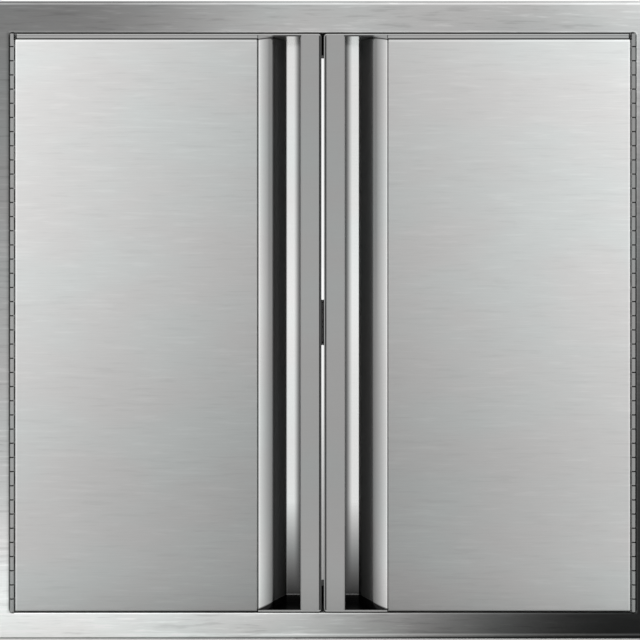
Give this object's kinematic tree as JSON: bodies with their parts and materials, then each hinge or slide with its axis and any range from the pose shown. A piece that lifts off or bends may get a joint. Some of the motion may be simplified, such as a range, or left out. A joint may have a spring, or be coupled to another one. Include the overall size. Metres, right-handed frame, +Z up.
{
  "type": "double access door",
  "caption": "Flush-mounted brushed stainless double access door for an outdoor kitchen, with a flat face frame, piano hinges and recessed vertical grip bars.",
  "frame": {"origin": "middle of the face frame's outline, on the plane of the wall that its rear lip lies on", "axes": "X to the right along the width, Y from the front of the doors back through the wall, Z up"},
  "size_m": [0.66, 0.0609, 0.61],
  "materials": {
    "brushed_stainless": "horizontal brushed grain, satin",
    "hinge_stainless": "plain mill finish",
    "black_plastic": "moulded, fine texture",
    "black_rubber": "matt",
    "magnet": "sintered, dark grey",
    "plated_steel": "bright zinc plate"
  },
  "bodies": {
    "frame": {"face_frame": "brushed_stainless", "jamb_header": "brushed_stainless", "jamb_sill": "brushed_stainless", "left_jamb": "brushed_stainless", "right_jamb": "brushed_stainless", "stop_angle_top": "brushed_stainless", "stop_angle_bottom": "brushed_stainless", "left_hinge_frame_leaf": "hinge_stainless", "left_hinge_pin": "hinge_stainless", "right_hinge_frame_leaf": "hinge_stainless", "right_hinge_pin": "hinge_stainless", "catch_housing_top": "black_plastic", "catch_magnets_top": "magnet", "catch_screws_top": "plated_steel", "catch_housing_bottom": "black_plastic", "catch_magnets_bottom": "magnet", "catch_screws_bottom": "plated_steel"},
    "left_door": {"left_door_skin": "brushed_stainless", "left_door_liner": "brushed_stainless", "left_pan_rim": "brushed_stainless", "left_handle_channel": "brushed_stainless", "left_grip_bar": "brushed_stainless", "left_recess_cap": "brushed_stainless", "left_recess_floor": "brushed_stainless", "left_stiffener": "brushed_stainless", "left_hinge_door_leaf": "hinge_stainless", "left_strike_top": "plated_steel", "left_strike_bottom": "plated_steel", "left_bumpers": "black_rubber", "left_meeting_pad": "black_rubber"},
    "right_door": {"right_door_skin": "brushed_stainless", "right_door_liner": "brushed_stainless", "right_pan_rim": "brushed_stainless", "right_handle_channel": "brushed_stainless", "right_grip_bar": "brushed_stainless", "right_recess_cap": "brushed_stainless", "right_recess_floor": "brushed_stainless", "right_stiffener": "brushed_stainless", "right_hinge_door_leaf": "hinge_stainless", "right_strike_top": "plated_steel", "right_strike_bottom": "plated_steel", "right_bumpers": "black_rubber", "right_meeting_pad": "black_rubber"}
  },
  "joints": [
    {"name": "left_door_hinge", "type": "hinge", "parent": "frame", "child": "left_door", "pos_m": [-0.297, -0.01075, -0.00265], "axis": [0, 0, -1], "range_deg": [0, 110]},
    {"name": "right_door_hinge", "type": "hinge", "parent": "frame", "child": "right_door", "pos_m": [0.297, -0.01075, -0.00265], "axis": [0, 0, 1], "range_deg": [0, 110]}
  ]
}
